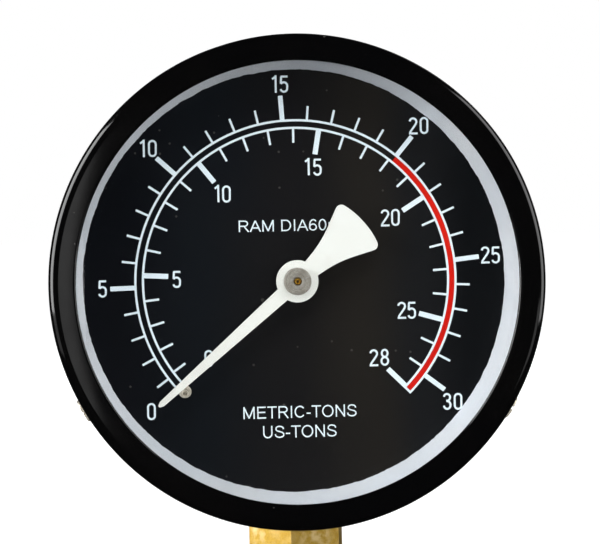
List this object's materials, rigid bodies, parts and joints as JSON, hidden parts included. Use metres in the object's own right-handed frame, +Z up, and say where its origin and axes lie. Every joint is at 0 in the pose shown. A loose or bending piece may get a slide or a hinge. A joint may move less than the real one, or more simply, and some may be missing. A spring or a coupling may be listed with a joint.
{
  "type": "dial pressure gauge",
  "caption": "Round dial load gauge for a hydraulic press: Bourdon tube movement, white pointer over a black twin-scale dial, black case and bezel, brass bottom connection.",
  "frame": {"origin": "on the connection's axis at the shoulder under the spanner flats, where its thread starts", "axes": "+Z up along the connection's axis, +X to the right of a person who reads the dial, -Y out of the dial towards that person"},
  "size_m": [0.11, 0.0515, 0.142],
  "materials": {
    "black_paint": "gloss",
    "black_gloss": "gloss",
    "nickel": "satin",
    "window_glass": "clear",
    "black_rubber": "matt",
    "white_ring": "matt",
    "dial_black": "satin",
    "pointer_white": "satin",
    "aluminium": "turned",
    "steel": "turned",
    "brass": "stamped",
    "bronze": "drawn",
    "socket_brass": "machined"
  },
  "bodies": {
    "housing": {"case": "black_paint", "bezel": "black_gloss", "bezel_screws": "nickel", "window": "window_glass", "window_gasket": "black_rubber", "spacer_ring": "white_ring", "dial": "dial_black", "stop_pin": "nickel", "movement_pillars": "brass", "movement_screws": "steel", "movement_mounting_screws": "steel", "hairspring_stud": "brass", "bourdon_tube": "bronze", "socket": "socket_brass", "restrictor": "steel", "socket_gasket": "black_rubber", "blowout_plug": "black_rubber", "movement_back_plate": "brass", "movement_front_plate": "brass", "case_spacer_bushes": "steel", "case_screws": "nickel"},
    "pointer": {"pointer": "pointer_white", "pointer_hub": "aluminium", "pinion_arbor": "brass", "hairspring_collet": "brass", "hairspring": "bronze"},
    "sector": {"sector_gear": "brass", "sector_arbor": "steel", "tail_screw": "steel"},
    "tube_tip": {"tip_piece": "socket_brass", "tip_screw": "steel"},
    "link": {"link": "brass"}
  },
  "joints": [
    {"name": "pointer_spin", "type": "hinge", "parent": "housing", "child": "pointer", "pos_m": [0, -0.026, 0.067], "axis": [0, 1, 0], "range_deg": [0, 265.89], "stiffness_Nm_per_rad": 0.0004, "springref_deg": -17.19, "deforming": ["bourdon_tube", "hairspring"]},
    {"name": "sector_swing", "type": "hinge", "parent": "housing", "child": "sector", "pos_m": [0, -0.0131, 0.0439], "axis": [0, 1, 0], "range_deg": [-26.59, 0]},
    {"name": "tip_swing", "type": "hinge", "parent": "housing", "child": "tube_tip", "pos_m": [-0.0025, -0.0107, 0.075], "axis": [0, 1, 0], "range_deg": [-7.19, 0]},
    {"name": "link_swing", "type": "hinge", "parent": "tube_tip", "child": "link", "pos_m": [0.01614, -0.012, 0.04962], "axis": [0, 1, 0], "range_deg": [0, 8.68]}
  ],
  "couplings": [
    {"joint": "sector_swing", "follows": "pointer_spin", "ratio": -0.1},
    {"joint": "tip_swing", "follows": "pointer_spin", "ratio": -0.027},
    {"joint": "link_swing", "follows": "pointer_spin", "ratio": 0.0326}
  ]
}
